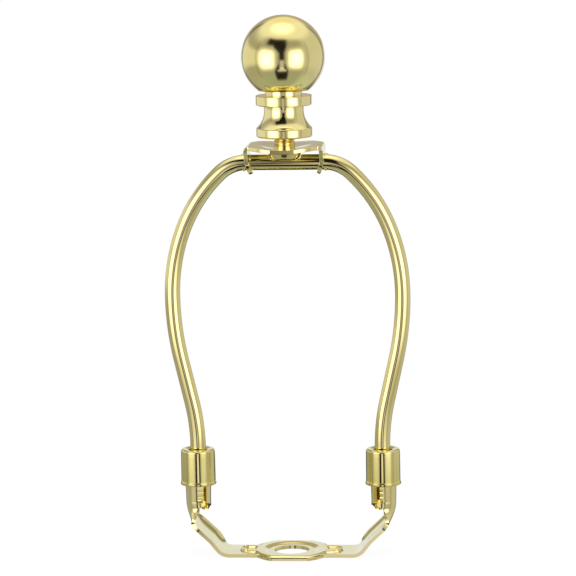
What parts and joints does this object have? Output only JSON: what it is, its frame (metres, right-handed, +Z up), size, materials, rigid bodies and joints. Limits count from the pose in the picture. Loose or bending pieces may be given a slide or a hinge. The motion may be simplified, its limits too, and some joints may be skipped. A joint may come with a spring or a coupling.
{
  "type": "lamp harp",
  "caption": "Detachable lamp harp: wire bow held in a stamped saddle by two sliding sleeves, with a top plate, threaded stud and ball finial.",
  "frame": {"origin": "centre of the saddle's lamp-pipe hole, at the underside of the saddle", "axes": "+Z up to the finial, +X along the harp's width, -Y towards the side that the sockets open to"},
  "size_m": [0.075, 0.0254, 0.1658],
  "materials": {
    "pressed_sheet": "polished plated sheet",
    "bent_wire": "polished plated wire",
    "sleeve_brass": "mirror polished",
    "stud_brass": "bright thread",
    "turned_brass": "turned and polished",
    "polished_ball": "mirror polished"
  },
  "bodies": {
    "base": {"saddle": "pressed_sheet"},
    "bow": {"harp_wire": "bent_wire", "top_plate": "pressed_sheet", "stud": "stud_brass"},
    "left_sleeve": {"ferrule_left": "sleeve_brass"},
    "right_sleeve": {"ferrule_right": "sleeve_brass"},
    "finial": {"finial_base": "turned_brass", "finial_ball": "polished_ball"}
  },
  "joints": [
    {"name": "harp_lift", "type": "slide", "parent": "base", "child": "bow", "axis": [0, 0, 1], "range_m": [0, 0.013]},
    {"name": "left_sleeve_lift", "type": "slide", "parent": "bow", "child": "left_sleeve", "axis": [0, 0, 1], "range_m": [0, 0.008]},
    {"name": "right_sleeve_lift", "type": "slide", "parent": "bow", "child": "right_sleeve", "axis": [0, 0, 1], "range_m": [0, 0.008]},
    {"name": "finial_lift", "type": "slide", "parent": "bow", "child": "finial", "axis": [0, 0, 1], "range_m": [0, 0.012]}
  ]
}
